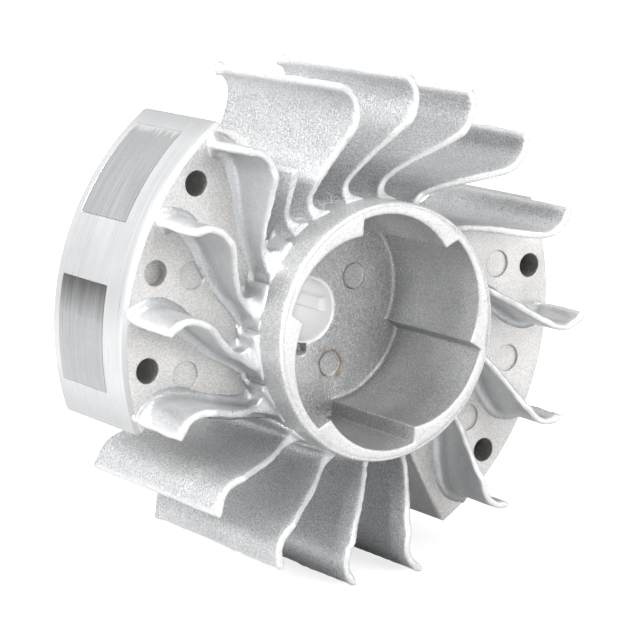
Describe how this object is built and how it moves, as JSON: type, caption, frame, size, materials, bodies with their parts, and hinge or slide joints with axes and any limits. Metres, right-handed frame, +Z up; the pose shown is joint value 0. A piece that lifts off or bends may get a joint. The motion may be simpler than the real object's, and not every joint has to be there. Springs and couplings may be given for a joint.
{
  "type": "flywheel",
  "caption": "Small-engine flywheel: finned die-cast wheel with a starter ratchet cup, a magnet sector with two laminated pole shoes, and a steel counterweight.",
  "frame": {"origin": "centre of the starter cup's rim, on the crank axis", "axes": "+Y along the crank axis from the cup's mouth towards the engine; +Z up as the wheel stands in the picture; +X to the right seen from the cup's side"},
  "size_m": [0.091, 0.0398, 0.0886],
  "materials": {
    "cast_aluminium": "satin",
    "magnet_ferrite": "satin",
    "counterweight_steel": "rough",
    "pole_steel": "satin",
    "rivet_steel": "satin"
  },
  "bodies": {
    "root": {"body_casting": "cast_aluminium", "magnet": "magnet_ferrite", "counterweight_bar": "counterweight_steel", "upper_pole_lamination_01": "pole_steel", "upper_pole_lamination_02": "pole_steel", "upper_pole_lamination_03": "pole_steel", "upper_pole_lamination_04": "pole_steel", "upper_pole_lamination_05": "pole_steel", "upper_pole_lamination_06": "pole_steel", "upper_pole_lamination_07": "pole_steel", "upper_pole_lamination_08": "pole_steel", "upper_pole_lamination_09": "pole_steel", "upper_pole_lamination_10": "pole_steel", "upper_pole_lamination_11": "pole_steel", "upper_pole_lamination_12": "pole_steel", "lower_pole_lamination_01": "pole_steel", "lower_pole_lamination_02": "pole_steel", "lower_pole_lamination_03": "pole_steel", "lower_pole_lamination_04": "pole_steel", "lower_pole_lamination_05": "pole_steel", "lower_pole_lamination_06": "pole_steel", "lower_pole_lamination_07": "pole_steel", "lower_pole_lamination_08": "pole_steel", "lower_pole_lamination_09": "pole_steel", "lower_pole_lamination_10": "pole_steel", "lower_pole_lamination_11": "pole_steel", "lower_pole_lamination_12": "pole_steel", "upper_pole_rivet": "rivet_steel", "lower_pole_rivet": "rivet_steel"}
  },
  "joints": []
}
